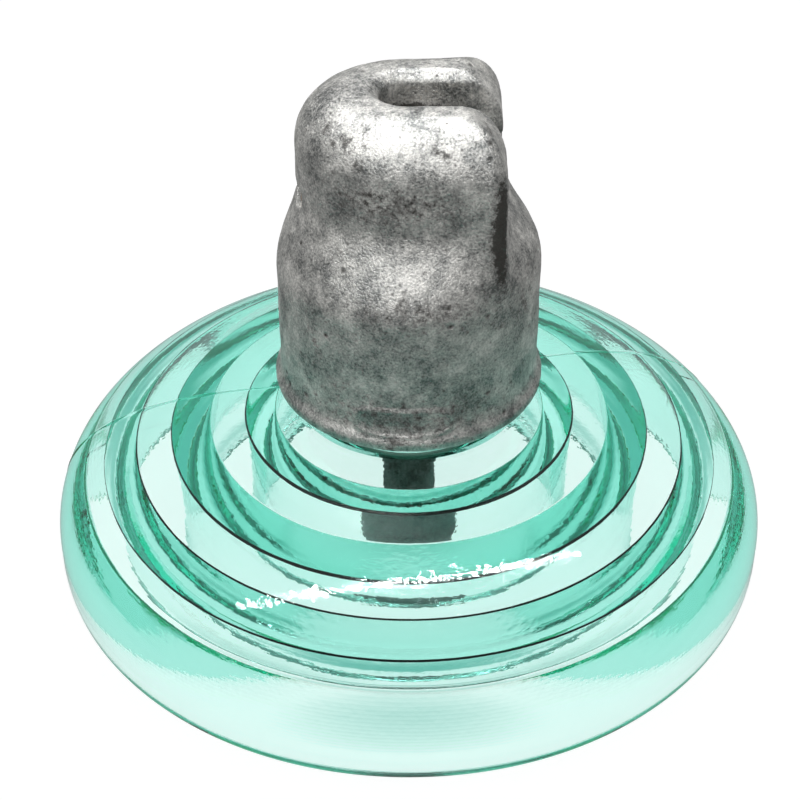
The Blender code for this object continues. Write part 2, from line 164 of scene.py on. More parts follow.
def spun(outline, turns, closed=False):
    """Spin an outline of (r, z) points round the axis, with its faces pointing out."""
    bm = bmesh.new()
    verts = [bm.verts.new((point[0], 0.0, point[1])) for point in outline]
    edges = [bm.edges.new(pair) for pair in zip(verts, verts[1:])]
    if closed:
        edges.append(bm.edges.new((verts[-1], verts[0])))
    bmesh.ops.spin(bm, geom=verts + edges, axis=(0, 0, 1), cent=(0, 0, 0),
                   angle=math.tau, steps=turns, use_merge=True)
    bmesh.ops.remove_doubles(bm, verts=bm.verts, dist=WELD)
    bmesh.ops.recalc_face_normals(bm, faces=bm.faces)
    return bm


# ---------------------------------------------------------------- node helpers

def add_node(tree, kind, inputs=None, **settings):
    """Add a node; a value in inputs is either a socket to link from or a constant."""
    made = tree.nodes.new(kind)
    for name, value in settings.items():
        setattr(made, name, value)
    for name, value in (inputs or {}).items():
        if isinstance(value, bpy.types.NodeSocket):
            tree.links.new(value, made.inputs[name])
        else:
            made.inputs[name].default_value = value
    return made


def noise_at(tree, vector, scale, detail=4.0, roughness=0.6):
    made = add_node(tree, "ShaderNodeTexNoise",
                    {"Vector": vector, "Scale": scale, "Detail": detail,
                     "Roughness": roughness})
    return made.outputs["Fac"]


def spread(tree, value, low, high, to_low=0.0, to_high=1.0):
    made = add_node(tree, "ShaderNodeMapRange",
                    {"Value": value, "From Min": low, "From Max": high,
                     "To Min": to_low, "To Max": to_high})
    return made.outputs["Result"]


def maths(tree, operation, first, second=0.0):
    return add_node(tree, "ShaderNodeMath", {0: first, 1: second},
                    operation=operation).outputs[0]


def blend_colours(tree, factor, first, second):
    """Mix two colours, each a socket or an (r, g, b)."""
    ends = [end if isinstance(end, bpy.types.NodeSocket) else (*end, 1.0)
            for end in (first, second)]
    return add_node(tree, "ShaderNodeMix", {0: factor, 6: ends[0], 7: ends[1]},
                    data_type="RGBA").outputs[2]


def new_group(name, inputs, output):
    """A shader node group with a vector, float inputs {name: default} and one output."""
    tree = bpy.data.node_groups.new(name, "ShaderNodeTree")
    tree.interface.new_socket("Vector", in_out="INPUT", socket_type="NodeSocketVector")
    for label, default in inputs.items():
        socket = tree.interface.new_socket(label, in_out="INPUT",
                                           socket_type="NodeSocketFloat")
        socket.default_value = default
    tree.interface.new_socket(output, in_out="OUTPUT", socket_type="NodeSocketFloat")
    entry = tree.nodes.new("NodeGroupInput")
    leave = tree.nodes.new("NodeGroupOutput")
    return tree, entry, leave


def grain_group():
    """Sand-cast skin: fine grit over broader lumps, as a height from 0 to 1."""
    tree, entry, leave = new_group("cast_grain", {"Grit per metre": 900.0, "Lumps": 0.35},
                                   "Height")
    where = entry.outputs["Vector"]
    scale = entry.outputs["Grit per metre"]
    fine = noise_at(tree, where, scale, 3.0, 0.6)
    broad = noise_at(tree, where, maths(tree, "MULTIPLY", scale, 0.22), 3.0, 0.55)
    share = entry.outputs["Lumps"]
    mixed = add_node(tree, "ShaderNodeMix", {0: share, 2: fine, 3: broad})
    tree.links.new(mixed.outputs[0], leave.inputs["Height"])
    return tree


def stain_group():
    """Patches of dirt with ragged edges: 1 in the dirt and 0 outside it."""
    tree, entry, leave = new_group("stain", {"Patches per metre": 60.0, "Cover": 0.5},
                                   "Mask")
    where = entry.outputs["Vector"]
    scale = entry.outputs["Patches per metre"]
    patch = noise_at(tree, where, scale, 8.0, 0.72)
    fleck = noise_at(tree, where, maths(tree, "MULTIPLY", scale, 7.0), 4.0, 0.7)
    both = maths(tree, "ADD", maths(tree, "MULTIPLY", patch, 0.7),
                 maths(tree, "MULTIPLY", fleck, 0.3))
    low = maths(tree, "SUBTRACT", 0.85, maths(tree, "MULTIPLY", entry.outputs["Cover"], 0.5))
    mask = add_node(tree, "ShaderNodeMapRange", {"Value": both, "From Min": low,
                    "From Max": maths(tree, "ADD", low, 0.07)})
    tree.links.new(mask.outputs["Result"], leave.inputs["Mask"])
    return tree


def pit_group():
    """Scattered small pits: 1 at the bottom of a pit and 0 on the open surface."""
    tree, entry, leave = new_group("pits", {"Pits per metre": 160.0, "Size": 0.18},
                                   "Mask")
    where = entry.outputs["Vector"]
    cells = add_node(tree, "ShaderNodeTexVoronoi",
                     {"Vector": where, "Scale": entry.outputs["Pits per metre"]})
    size = entry.outputs["Size"]
    depth = add_node(tree, "ShaderNodeMapRange",
                     {"Value": cells.outputs["Distance"], "From Min": size, "From Max": 0.03})
    pick = add_node(tree, "ShaderNodeSeparateColor", {"Color": cells.outputs["Color"]})
    kept = maths(tree, "GREATER_THAN", pick.outputs[0], 0.72)
    tree.links.new(maths(tree, "MULTIPLY", depth.outputs["Result"], kept),
                   leave.inputs["Mask"])
    return tree


GRAIN = grain_group()
STAIN = stain_group()
PITS = pit_group()


def use_group(tree, group, output, **inputs):
    """Use a group; an underscore in the name of an input stands for a space."""
    made = tree.nodes.new("ShaderNodeGroup")
    made.node_tree = group
    for name, value in inputs.items():
        label = name.replace("_", " ")
        if isinstance(value, bpy.types.NodeSocket):
            tree.links.new(value, made.inputs[label])
        else:
            made.inputs[label].default_value = value
    return made.outputs[output]


def new_material(name):
    made = bpy.data.materials.new(name)
    made.use_nodes = True
    tree = made.node_tree
    shader = tree.nodes["Principled BSDF"]
    where = tree.nodes.new("ShaderNodeTexCoord").outputs["Object"]
    return made, tree, shader, where


def bump(tree, shader, height, distance, strength=1.0):
    made = add_node(tree, "ShaderNodeBump", {"Height": height, "Distance": distance,
                                             "Strength": strength})
    tree.links.new(made.outputs["Normal"], shader.inputs["Normal"])


# ---------------------------------------------------------------- materials

def glass_material():
    """Pale green pressed glass with a faint ripple; its colour comes from its depth."""
    made, tree, shader, where = new_material("toughened_glass")
    shader.inputs["Base Color"].default_value = (1.0, 1.0, 1.0, 1.0)
    shader.inputs["Roughness"].default_value = 0.0
    shader.inputs["IOR"].default_value = 1.52
    shader.inputs["Transmission Weight"].default_value = 1.0
    ripple = noise_at(tree, where, 420.0, 2.0, 0.5)
    bump(tree, shader, ripple, 0.025 * MM)
    volume = tree.nodes.new("ShaderNodeVolumeAbsorption")
    volume.inputs["Color"].default_value = (0.08, 0.95, 0.82, 1.0)
    volume.inputs["Density"].default_value = 16.0
    output = tree.nodes["Material Output"]
    tree.links.new(volume.outputs["Volume"], output.inputs["Volume"])
    return made


def blob(tree, where, centre, radii):
    """A soft egg-shaped patch: 1 at its centre and 0 past its radii."""
    away = add_node(tree, "ShaderNodeVectorMath", {0: where, 1: centre},
                    operation="SUBTRACT").outputs["Vector"]
    scaled = add_node(tree, "ShaderNodeVectorMath", {0: away, 1: radii},
                      operation="DIVIDE").outputs["Vector"]
    reach = add_node(tree, "ShaderNodeVectorMath", {0: scaled},
                     operation="LENGTH").outputs["Value"]
    return spread(tree, reach, 1.0, 0.3)


def galvanised_material(name, light, dark, grit, dirt, grime_and_shade=()):
    """Hot-dip zinc on a rough part: mottled grey with grit, pits and dark stains, and darkened at the
    listed places (centre, radii and weight), which hold both grime and painted shade."""
    made, tree, shader, where = new_material(name)
    mottle = noise_at(tree, where, 90.0, 6.0, 0.7)
    grain = use_group(tree, GRAIN, "Height", Vector=where, Grit_per_metre=grit, Lumps=0.3)
    tone = maths(tree, "ADD", maths(tree, "MULTIPLY", mottle, 0.5),
                 maths(tree, "MULTIPLY", grain, 0.5))
    zinc = blend_colours(tree, spread(tree, tone, 0.40, 0.60), dark, light)
    stains = use_group(tree, STAIN, "Mask", Vector=where, Patches_per_metre=55.0, Cover=dirt)
    pits = use_group(tree, PITS, "Mask", Vector=where, Pits_per_metre=150.0, Size=0.2)
    specks = use_group(tree, PITS, "Mask", Vector=where, Pits_per_metre=420.0, Size=0.3)
    soil_and_shade = maths(tree, "MAXIMUM", maths(tree, "MULTIPLY", stains, 0.8), pits)
    soil_and_shade = maths(tree, "MAXIMUM", soil_and_shade, maths(tree, "MULTIPLY", specks, 0.7))
    ragged = noise_at(tree, where, 420.0, 6.0, 0.75)
    # each listed patch darkens the zinc: grime, and in the socket painted shade
    for centre, radii, weight in grime_and_shade:
        patch = maths(tree, "MULTIPLY", blob(tree, where, centre, radii), weight)
        patch = maths(tree, "ADD", patch, maths(tree, "SUBTRACT", ragged, 0.5))
        soil_and_shade = maths(tree, "MAXIMUM", soil_and_shade, spread(tree, patch, 0.1, 0.3, 0.0, 0.95))
    colour = blend_colours(tree, soil_and_shade, zinc, (0.018, 0.016, 0.012))
    tree.links.new(colour, shader.inputs["Base Color"])
    rough = spread(tree, tone, 0.35, 0.65, 0.42, 0.62)
    tree.links.new(maths(tree, "ADD", rough, maths(tree, "MULTIPLY", soil_and_shade, 0.25)),
                   shader.inputs["Roughness"])
    tree.links.new(maths(tree, "SUBTRACT", 1.0, maths(tree, "MULTIPLY", soil_and_shade, 0.8)),
                   shader.inputs["Metallic"])
    height = maths(tree, "SUBTRACT", grain, maths(tree, "MULTIPLY", pits, 0.8))
    bump(tree, shader, height, 0.5 * MM, 0.9)
    return made


def mortar_material():
    """Cured cement: grey, sandy and matt."""
    made, tree, shader, where = new_material("cement_mortar")
    sand = use_group(tree, GRAIN, "Height", Vector=where, Grit_per_metre=1500.0, Lumps=0.4)
    colour = blend_colours(tree, spread(tree, sand, 0.35, 0.65),
                           (0.20, 0.19, 0.17), (0.46, 0.44, 0.40))
    tree.links.new(colour, shader.inputs["Base Color"])
    tree.links.new(spread(tree, sand, 0.3, 0.7, 0.8, 0.95), shader.inputs["Roughness"])
    bump(tree, shader, sand, 0.4 * MM)
    return made


def cork_material():
    """Pressed cork: brown granules with dark gaps."""
    made, tree, shader, where = new_material("pressed_cork")
    cells = add_node(tree, "ShaderNodeTexVoronoi", {"Vector": where, "Scale": 600.0})
    pick = add_node(tree, "ShaderNodeSeparateColor", {"Color": cells.outputs["Color"]})
    granule = blend_colours(tree, pick.outputs[0], (0.20, 0.10, 0.045), (0.42, 0.26, 0.13))
    gaps = spread(tree, cells.outputs["Distance"], 0.45, 0.7)
    colour = blend_colours(tree, gaps, granule, (0.06, 0.03, 0.015))
    tree.links.new(colour, shader.inputs["Base Color"])
    tree.links.new(spread(tree, gaps, 0.0, 1.0, 0.8, 0.95), shader.inputs["Roughness"])
    bump(tree, shader, maths(tree, "SUBTRACT", 1.0, gaps), 0.3 * MM)
    return made


def bitumen_material():
    """Bitumen-coated disc: black, with a faint crawl in its sheen."""
    made, tree, shader, where = new_material("bitumen_board")
    crawl = use_group(tree, GRAIN, "Height", Vector=where, Grit_per_metre=700.0, Lumps=0.5)
    colour = blend_colours(tree, crawl, (0.012, 0.011, 0.010), (0.035, 0.032, 0.028))
    tree.links.new(colour, shader.inputs["Base Color"])
    tree.links.new(spread(tree, crawl, 0.3, 0.7, 0.5, 0.75), shader.inputs["Roughness"])
    bump(tree, shader, crawl, 0.2 * MM)
    return made


def bronze_material():
    """Drawn spring bronze: warm, with lines along the strip and dull brown patches."""
    made, tree, shader, where = new_material("spring_bronze")
    stretched = add_node(tree, "ShaderNodeMapping", {"Vector": where, "Scale": (0.06, 1, 1)})
    lines = noise_at(tree, stretched.outputs["Vector"], 4000.0, 2.0, 0.5)
    patches = use_group(tree, STAIN, "Mask", Vector=where, Patches_per_metre=180.0, Cover=0.75)
    bright = blend_colours(tree, lines, (0.50, 0.31, 0.14), (0.66, 0.44, 0.22))
    colour = blend_colours(tree, maths(tree, "MULTIPLY", patches, 0.6), bright,
                           (0.16, 0.09, 0.045))
    tree.links.new(colour, shader.inputs["Base Color"])
    tree.links.new(spread(tree, patches, 0.0, 1.0, 0.28, 0.5), shader.inputs["Roughness"])
    shader.inputs["Metallic"].default_value = 1.0
    bump(tree, shader, lines, 0.03 * MM)
    return made


# ---------------------------------------------------------------- glass

def shed_top(radius):
    share = min(radius / DISC_RADIUS, 1.0)
    return RIM_HEIGHT + SHED_RISE * math.sqrt(1.0 - share ** SHED_POWER)


def shed_under(radius):
    return shed_top(radius) - SHED_THICKNESS


def glass_corners():
    """Corners (r, z, radius) of the glass from its crown over the rim to its bore."""
    corners = [(0.0, CROWN_Z, 0.0), (GLASS_HEAD_RADIUS, CROWN_Z, CROWN_ROUND)]
    start = GLASS_HEAD_RADIUS + 1.0 * MM
    corners.append((GLASS_HEAD_RADIUS, shed_top(start), NECK_ROUND))
    first = math.asin((GLASS_HEAD_RADIUS + 9.0 * MM) / DISC_RADIUS)
    for step in range(SHED_STEPS + 1):
        radius = DISC_RADIUS * math.sin(first + (math.pi / 2 - first) * step / SHED_STEPS)
        corners.append((radius, shed_top(radius), 0.0))
    inside = DISC_RADIUS - RIM_WALL
    flat_outer = inside + RIM_ROUND + RIM_FLAT
    width = DISC_RADIUS - flat_outer
    for step in range(1, RIM_STEPS + 1):
        angle = math.pi / 2 * step / RIM_STEPS
        corners.append((flat_outer + width * math.cos(angle),
                        RIM_FOOT_SHARE * RIM_HEIGHT * (1.0 - math.sin(angle)), 0.0))
    corners.append((inside, 0.0, RIM_ROUND * 0.999))
    wall = inside - RIM_TAPER
    corners.append((wall, shed_under(wall) - 1.0 * MM, RIM_INSIDE_ROUND))
    for inner, outer, tip in reversed(RIBS):
        middle = (inner + outer) / 2
        corners.append((outer, shed_under(outer), OUTER_ROOT))
        corners.append((middle + RIB_TIP_HALF, tip, RIB_TIP_ROUND))
        corners.append((middle - RIB_TIP_HALF, tip, RIB_TIP_ROUND))
        corners.append((inner, shed_under(inner), INNER_ROOT))
    corners.append((BORE_RADIUS, HUB_UNDER_Z, BORE_MOUTH_ROUND))
    corners.append((BORE_RADIUS, BORE_ROOF_Z, BORE_ROUND))
    corners.append((0.0, BORE_ROOF_Z, 0.0))
    return corners


def ripple_glass(bm):
    """The pressed surface's slight unevenness, drawn out round the axis."""
    bm.normal_update()
    for vert in bm.verts:
        radius = math.hypot(vert.co.x, vert.co.y)
        if radius < BORE_RADIUS:
            continue
        place = Vector((vert.co.x * 30, vert.co.y * 30, vert.co.z * 80 + radius * 150))
        vert.co += vert.normal * (RIPPLE * noise.noise(place))
        vert.co.z = max(0.0, vert.co.z)


def raise_seam(bm, angle):
    """A fine radial ridge over the shed, where two halves of the mould met."""
    direction = Vector((math.cos(angle), math.sin(angle), 0.0))
    across = Vector((-direction.y, direction.x, 0.0))

    def nearby(face):
        middle = face.calc_center_median()
        top = middle.z > shed_top(math.hypot(middle.x, middle.y)) - 3 * MM
        return top and middle.dot(direction) > SEAM_FROM - 1 * MM and abs(middle.dot(across)) < 4 * MM

    for offset in (-SEAM_HALF, 0.0, SEAM_HALF):
        faces = [face for face in bm.faces if nearby(face)]
        edges = {edge for face in faces for edge in face.edges}
        verts = {vert for face in faces for vert in face.verts}
        bmesh.ops.bisect_plane(bm, geom=list(verts) + list(edges) + faces,
                               plane_co=across * offset, plane_no=across, dist=WELD / 2)
    bm.normal_update()
    for vert in bm.verts:
        outward = vert.co.dot(direction)
        if abs(vert.co.dot(across)) < WELD and outward > SEAM_FROM:
            if vert.co.z > shed_top(min(outward, DISC_RADIUS)) - 1 * MM:
                if outward < DISC_RADIUS - 0.5 * MM:
                    vert.co += vert.normal * SEAM_RISE


def shade_rib_roots(bm):
    """Painted shade: a near-black second material on the corners at the ribs' roots, for the dark
    lines that the glass shows along them.
    """
    roots = [(outer, OUTER_ROOT_SHADE) for inner, outer, tip in RIBS]
    roots.append((RIBS[-1][0], INNER_ROOT_SHADE))
    for face in bm.faces:
        middle = face.calc_center_median()
        radius = math.hypot(middle.x, middle.y)
        for root, reach in roots:
            if math.hypot(radius - root, middle.z - shed_under(root)) < reach:
                face.material_index = 1


# A near-black matt coat: painted shade for the dark lines along the ribs' roots.
def root_shade_material():
    made, tree, shader, where = new_material("root_painted_shade")
    speck = noise_at(tree, where, 1200.0)
    colour = blend_colours(tree, speck, (0.0, 0.002, 0.0015), (0.006, 0.012, 0.01))
    tree.links.new(colour, shader.inputs["Base Color"])
    tree.links.new(spread(tree, speck, 0.3, 0.7, 0.8, 0.95), shader.inputs["Roughness"])
    shader.inputs["Specular IOR Level"].default_value = 0.0
    return made


def make_glass():
    bm = spun(braced(rounded(glass_corners(), 8)), GLASS_TURNS)
    ripple_glass(bm)
    for degrees in SEAM_ANGLES:
        raise_seam(bm, math.radians(degrees))
    shade_rib_roots(bm)
    glass = piece("glass_body", bm, glass_material(), "insulator", "glass_shell")
    # the second material: painted shade at the ribs' roots
    glass.data.materials.append(root_shade_material())
    return glass


# ---------------------------------------------------------------- cap

BELL_RADIUS = 44.5 * MM
BELL_TOP_Z = FLANGE_Z + 49.0 * MM# where the shoulder starts
SHOULDER_HEIGHT = 28.0 * MM
HEAD_BACK = 37.0 * MM
HEAD_HALF_WIDTH = 33.5 * MM
HEAD_MOUTH = 31.0 * MM
HEAD_CORNER = 5.0 * MM
HEAD_EDGE = 18.5 * MM         # size of the rounding round the head's top
MOUTH_EDGE = 20.0 * MM        # the same at the mouth
SLOT_HALF_WIDTH = 9.7 * MM
SOCKET_RADIUS = 17.75 * MM
SEAT_RADIUS = 17.3 * MM
SEAT_Z = SOCKET_FLOOR_Z + 19.7 * MM# top of the recess that the ball hangs in
ENTRY_Z = SOCKET_FLOOR_Z + 16.2 * MM# ceiling of the way in for the ball
FLANGE_BEAD = 7.8 * MM        # height of the bead round the foot of the bell
FLANGE_NECK = 2.4 * MM        # height over which the bead runs out into the bell
SHOULDER_BENDS = (1.45, 2.1)  # power of the shoulder's start: behind, and at the mouth
SHOULDER_EASE = 1.3           # power of its end, where it meets the head
BELL_WALL = 5.5 * MM
BELL_ROOF_ROUND = 9 * MM
BELL_STEPS = 96
VOXEL = 0.9 * MM              # fineness of the remeshed casting
SMOOTH_TURNS = 3
PAST = 15 * MM                # how far a cutting shape runs past what it cuts
OVERLAP = 8 * MM              # how far the cutting shapes of the socket share their height
LUMP, LUMPS_PER_METRE = 0.16 * MM, 90
GRIT, GRITS_PER_METRE = 0.05 * MM, 520
PAD_PLACE = (-2 * MM, 12 * MM)    # the blank pad's centre: along the bell, over its flange
PAD_HALF = (16 * MM, 5 * MM)  # half of its width and of its height
PAD_RISE, PAD_RIM_RISE = 0.3 * MM, 0.5 * MM


def arc(centre, radius, start, end, steps):
    points = []
    for step in range(steps + 1):
        angle = math.radians(start + (end - start) * step / steps)
        points.append((centre[0] + radius * math.cos(angle),
                       centre[1] + radius * math.sin(angle)))
    return points


def head_plan():
    """Plan of the head: round behind, flat sides and a mouth with small corners."""
    points = [(HEAD_BACK * x, HEAD_HALF_WIDTH * y)
              for x, y in arc((0, 0), 1.0, 90, 270, 36)]
    corner = (HEAD_MOUTH - HEAD_CORNER, HEAD_HALF_WIDTH - HEAD_CORNER)
    front = [(corner[0] * step / 6, -HEAD_HALF_WIDTH) for step in range(1, 6)]
    front += arc((corner[0], -corner[1]), HEAD_CORNER, -90, 0, 5)
    front += [(HEAD_MOUTH, corner[1] * (step / 6 - 1)) for step in range(1, 6)]
    mirrored = [(x, -y) for x, y in reversed(front)]
    return points + front + [(HEAD_MOUTH, 0.0)] + mirrored


def round_ring(radius, height):
    ring = []
    for x, y in head_plan():
        reach = math.hypot(x, y)
        ring.append((radius * x / reach, radius * y / reach, height))
    return ring


def shoulder_ring(rise):
    ring = []
    for x, y in head_plan():
        reach = math.hypot(x, y)
        bend = SHOULDER_BENDS[0] + (SHOULDER_BENDS[1] - SHOULDER_BENDS[0]) * (1 + x / reach) / 2
        inward = rise ** bend
        share = inward / (inward + (1 - rise) ** SHOULDER_EASE)
        radius = BELL_RADIUS + (reach - BELL_RADIUS) * share
        ring.append((radius * x / reach, radius * y / reach,
                     BELL_TOP_Z + SHOULDER_HEIGHT * rise))
    return ring


def head_ring(turn):
    angle = math.radians(turn)
    ring = []
    for x, y in head_plan():
        towards_mouth = max(0.0, x / HEAD_MOUTH) ** 2
        edge = HEAD_EDGE + (MOUTH_EDGE - HEAD_EDGE) * min(1.0, towards_mouth)
        inset = edge * (1 - math.cos(angle)) / math.hypot(x, y)
        ring.append((x * (1 - inset), y * (1 - inset),
                     CAP_TOP_Z - edge * (1 - math.sin(angle))))
    return ring


def loft(rings):
    """Bridge rings of equally many points and close both ends."""
    bm = bmesh.new()
    loops = []
    for ring in rings:
        verts = [bm.verts.new(point) for point in ring]
        loops.append([bm.edges.new(pair) for pair in zip(verts, verts[1:] + verts[:1])])
    for low, high in zip(loops, loops[1:]):
        bmesh.ops.bridge_loops(bm, edges=low + high)
    for end in (loops[0], loops[-1]):
        bmesh.ops.contextual_create(bm, geom=end)
    bmesh.ops.recalc_face_normals(bm, faces=bm.faces)
    return bm


def combine(target, tool, operation):
    modifier = target.modifiers.new(tool.name, "BOOLEAN")
    modifier.operation = operation
    modifier.solver = "EXACT"
    modifier.object = tool


def keyhole(half_width, height):
    reach = BELL_RADIUS + 20 * MM
    points = arc((0.0, 0.0), half_width, 90, 270, 32)
    points += [(reach, -half_width), (reach, half_width)]
    return [(x, y, height) for x, y in points]


def bell_inside():
    radius = BELL_RADIUS - BELL_WALL
    below = FLANGE_Z - PAST
    corners = [(0.0, BELL_ROOF_Z, 0.0), (radius, BELL_ROOF_Z, BELL_ROOF_ROUND),
               (radius, below, 0.0), (0.0, below, 0.0)]
    return spun(rounded(corners), BELL_STEPS)


def socket_tools():
    """What is cut out of the head: the ball's chamber, its seat, the slot, the window."""
    chamber = as_object("chamber", loft([keyhole(SOCKET_RADIUS, SOCKET_FLOOR_Z),
                                       keyhole(SOCKET_RADIUS, ENTRY_Z)]))
    seat = [(0.0, SEAT_Z), (SEAT_RADIUS, SEAT_Z), (SEAT_RADIUS, ENTRY_Z - OVERLAP),
            (0.0, ENTRY_Z - OVERLAP)]
    slot = loft([keyhole(SLOT_HALF_WIDTH, SEAT_Z - OVERLAP),
                 keyhole(SLOT_HALF_WIDTH, CAP_TOP_Z - 3 * MM),
                 keyhole(SLOT_HALF_WIDTH + 22 * MM, CAP_TOP_Z + 19 * MM)])
    half = CLIP_HIGH.y - 1.8 * MM + 0.5 * MM
    plan = [(-HEAD_BACK - 20 * MM, -half), (-9 * MM, -half),
            (-9 * MM, half), (-HEAD_BACK - 20 * MM, half)]
    window = loft([[(x, y, z) for x, y in plan]
                   for z in (SOCKET_FLOOR_Z, CLIP_HIGH.z + 1.2 * MM)])
    tools = [as_object("seat", spun(seat, 64)), as_object("slot", slot),
             as_object("window", window)]
    return chamber, tools


def baked(thing):
    graph = bpy.context.evaluated_depsgraph_get()
    bm = bmesh.new()
    bm.from_object(thing, graph)
    return bm


def cap_casting():
    bead = FLANGE_BEAD / 2
    rings = [round_ring(r, FLANGE_Z + bead + z)
             for r, z in arc((FLANGE_RADIUS - bead, 0.0), bead, -80, 50, 8)]
    rings.append(round_ring(BELL_RADIUS, FLANGE_Z + FLANGE_BEAD + FLANGE_NECK))
    rings += [shoulder_ring(step / 14) for step in range(15)]
    rings += [head_ring(turn) for turn in range(0, 91, 10)]
    cap = as_object("cap_rough", loft(rings))
    chamber, tools = socket_tools()
    for tool in tools:
        combine(chamber, tool, "UNION")
    bell = as_object("bell", bell_inside())
    combine(cap, bell, "DIFFERENCE")
    combine(cap, chamber, "DIFFERENCE")
    remesh = cap.modifiers.new("skin", "REMESH")
    remesh.mode = "VOXEL"
    remesh.voxel_size = VOXEL
    bm = baked(cap)
    for thing in [cap, chamber, bell] + tools:
        bpy.data.objects.remove(thing, do_unlink=True)
    return bm


def weather_cap(bm):
    """Soften the casting's edges, then give it its lumps, grit and blank maker's pad."""
    for turn in range(SMOOTH_TURNS):
        bmesh.ops.smooth_vert(bm, verts=bm.verts, factor=0.5, use_axis_x=True,
                              use_axis_y=True, use_axis_z=True)
    bm.normal_update()
    for vert in bm.verts:
        rise = LUMP * noise.fractal(vert.co * LUMPS_PER_METRE, 0.8, 2.0, 3)
        rise += GRIT * noise.noise(vert.co * GRITS_PER_METRE)
        if vert.co.y < -30 * MM:
            along = math.atan2(vert.co.x, -vert.co.y) * BELL_RADIUS - PAD_PLACE[0]
            upward = vert.co.z - FLANGE_Z - PAD_PLACE[1]
            reach = (abs(along / PAD_HALF[0]) ** 4 + abs(upward / PAD_HALF[1]) ** 4) ** 0.25
            rise += PAD_RISE * max(0.0, min(1.0, (1.06 - reach) / 0.12))
            rise += PAD_RIM_RISE * max(0.0, 1.0 - abs(reach - 1.0) / 0.1)
        vert.co += vert.normal * rise
        vert.co.z = min(CAP_TOP_Z, vert.co.z)


def grime_and_shade_places():
    """Darker patches on the cap, each as (centre, radii and weight): grime at the lobe, brow and
    waist, a darker band over the flange bead, and painted shade deep in the socket.
    """
    lobe = Vector((HEAD_MOUTH - 2 * MM, 1 * MM - HEAD_HALF_WIDTH, CAP_TOP_Z - 36 * MM))
    brow = Vector((-8 * MM, 2 * MM - HEAD_HALF_WIDTH, CAP_TOP_Z - 24 * MM))
    waist = Vector((6 * MM, -BELL_RADIUS, BELL_TOP_Z + 6 * MM))
    # a darker band just over the flange bead
    foot = Vector((0.0, 4 * MM - BELL_RADIUS, FLANGE_Z + FLANGE_BEAD + 5 * MM))
    # painted shade: near black deep in the socket, where little light gets in
    chamber = Vector((2 * MM, 8 * MM, CAP_TOP_Z - 21 * MM))
    return ((lobe, Vector((5 * MM, 7 * MM, 30 * MM)), 0.42),
            (brow, Vector((40 * MM, 12 * MM, 11 * MM)), 0.2),
            (waist, Vector((46 * MM, 16 * MM, 9 * MM)), 0.15),
            (foot, Vector((50 * MM, 30 * MM, 12 * MM)), 0.15),
            (chamber, Vector((22 * MM, 7 * MM, 12 * MM)), 1.2))


def make_cap():
    bm = cap_casting()
    weather_cap(bm)
    looks = galvanised_material("galvanised_casting", (0.74, 0.73, 0.70),
                                (0.16, 0.168, 0.165), 1300.0, 0.55, grime_and_shade_places())
    return piece("cap_casting", bm, looks, "insulator", "cap")


# ---------------------------------------------------------------- pin, cements, discs

SHANK_RADIUS = 8.5 * MM
BALL_RADIUS = PIN_HIGH.x
BALL_LOW_Z = PIN_LOW.z
BALL_SHOULDER_Z = BALL_LOW_Z + 13.4 * MM
PIN_TOP_Z = PIN_HIGH.z
NECK_Z = HUB_UNDER_Z + 1.5 * MM
PIN_CROWN_RADIUS = 13.0 * MM
PIN_HEAD_RADIUS = 15.5 * MM
PIN_NECK_RADIUS = 9.5 * MM
PIN_CHAMFER = 3 * MM          # height of the slope at the top of the pin's head
LEDGES = 3
LEDGE_PITCH = 15 * MM         # from one ledge of the pin's head down to the next
LEDGE_DEPTH = 4 * MM
LEDGE_DROP = 7.5 * MM         # height of the slope under a ledge
BALL_POWER = 2 / 2.4          # fullness of the ball's outline
CAP_DISC_RADIUS = 25 * MM
PIN_DISC_RADIUS = 13 * MM
DISC_EDGE = 0.5 * MM


def ball_outline():
    points = []
    middle = BALL_SHOULDER_Z - 6.0 * MM
    for angle in list(range(52, 0, -6)) + list(range(0, -73, -6)):
        turn = math.radians(angle)
        reach = 6.0 * MM if angle > 0 else 7.4 * MM
        radius = BALL_RADIUS * math.cos(turn) ** BALL_POWER
        rise = math.copysign(abs(math.sin(turn)) ** BALL_POWER, angle) * reach
        points.append((radius, middle + rise, 0.0))
    return points


def ledge_corners(gap, edge, root):
    """The pin head's ledges, each narrower than the one above: (r, z, radius) corners."""
    corners = []
    for step in range(LEDGES):
        widest = PIN_HEAD_RADIUS - 2 * MM * step
        z = PIN_TOP_Z - LEDGE_PITCH * step - 5 * MM
        corners.append((widest + gap, z, edge))
        narrow = max(PIN_NECK_RADIUS, widest - LEDGE_DEPTH)
        corners.append((narrow + gap, z - LEDGE_DROP, root))
    return corners


def pin_corners():
    corners = [(0.0, PIN_TOP_Z, 0.0), (PIN_CROWN_RADIUS, PIN_TOP_Z, 1.0 * MM),
               (PIN_HEAD_RADIUS, PIN_TOP_Z - PIN_CHAMFER, 1.0 * MM)]
    corners += ledge_corners(0.0, 0.8 * MM, 1.5 * MM)
    corners.append((PIN_NECK_RADIUS, NECK_Z, 1.5 * MM))
    corners.append((SHANK_RADIUS, NECK_Z - 4.5 * MM, 2 * MM))
    corners.append((SHANK_RADIUS, BALL_SHOULDER_Z + 1.4 * MM, 1.5 * MM))
    return corners + ball_outline() + [(5 * MM, BALL_LOW_Z, 1 * MM), (0.0, BALL_LOW_Z, 0.0)]


def roughen(bm, lump, per_metre):
    bm.normal_update()
    for vert in bm.verts:
        vert.co += vert.normal * (lump * noise.fractal(vert.co * per_metre, 0.8, 2.0, 3))


def make_pin():
    bm = spun(rounded(pin_corners()), 144)
    roughen(bm, 0.06 * MM, 150)
    # Painted shade: the pin's zinc gets a near-black colour for the shade under the disc, with stains
    # over it.
    looks = galvanised_material("forging_soil_and_shade", (0.16, 0.165, 0.155),
                                (0.03, 0.036, 0.033), 1300.0, 0.7)
    return piece("pin_forging", bm, looks, "insulator", "pin")


